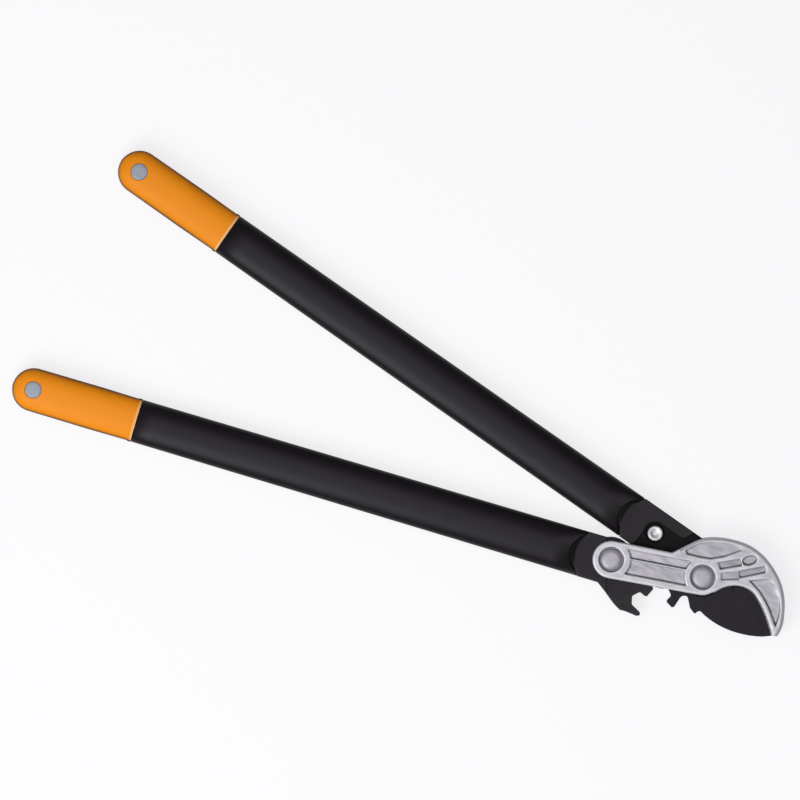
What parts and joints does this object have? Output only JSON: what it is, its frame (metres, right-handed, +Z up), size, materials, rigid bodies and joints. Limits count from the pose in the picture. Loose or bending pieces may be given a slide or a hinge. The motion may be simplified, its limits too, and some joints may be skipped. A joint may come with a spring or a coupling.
{
  "type": "geared anvil lopper",
  "caption": "Two-handed geared anvil lopper: a steel blade closes on a curved anvil in a ribbed hook, and gear teeth couple the two long oval handles.",
  "frame": {"origin": "the main pivot's axis, on the plane that the tool rests on when it lies flat", "axes": "+X past the jaw, halfway between the closed handles; +Y to the upper handle, the one that carries the blade; +Z up, to the front in the picture"},
  "size_m": [0.6984, 0.2496, 0.026],
  "materials": {
    "casting": "satin, die-cast and tumbled",
    "anvil_metal": "satin",
    "axle_steel": "turned, plated",
    "steel": "plated",
    "blade_steel": "non-stick coating, satin",
    "head_plastic": "glass-filled, matt",
    "tube": "powder coated, satin",
    "grip": "moulded, matt",
    "rivet": "moulded, matt",
    "bush": "sintered"
  },
  "bodies": {
    "anvil_head": {"front_cheek": "casting", "rear_cheek": "casting", "anvil": "anvil_metal", "hook_screw_inner": "steel", "hook_screw_outer": "steel", "main_axle": "axle_steel", "main_axle_screw": "axle_steel", "link_axle": "axle_steel", "link_axle_screw": "axle_steel", "main_washer_front": "steel", "main_washer_rear": "steel", "link_washer_front": "steel", "link_washer_rear": "steel"},
    "upper_lever": {"upper_head": "head_plastic", "blade": "blade_steel", "blade_bolt": "steel", "blade_bolt_nut": "steel", "main_bush": "bush", "upper_tube": "tube", "upper_grip": "grip", "upper_grip_rivet": "rivet"},
    "lower_lever": {"lower_head": "head_plastic", "link_bush": "bush", "lower_tube": "tube", "lower_grip": "grip", "lower_grip_rivet": "rivet"}
  },
  "joints": [
    {"name": "upper_lever_hinge", "type": "hinge", "parent": "anvil_head", "child": "upper_lever", "pos_m": [0, 0, 0.013], "axis": [0, 0, -1], "range_deg": [0, 50]},
    {"name": "lower_lever_hinge", "type": "hinge", "parent": "anvil_head", "child": "lower_lever", "pos_m": [-0.07858, -0.02084, 0.013], "axis": [0, 0, 1], "range_deg": [0, 41.1]}
  ],
  "couplings": [
    {"joint": "lower_lever_hinge", "follows": "upper_lever_hinge", "ratio": 0.82}
  ]
}
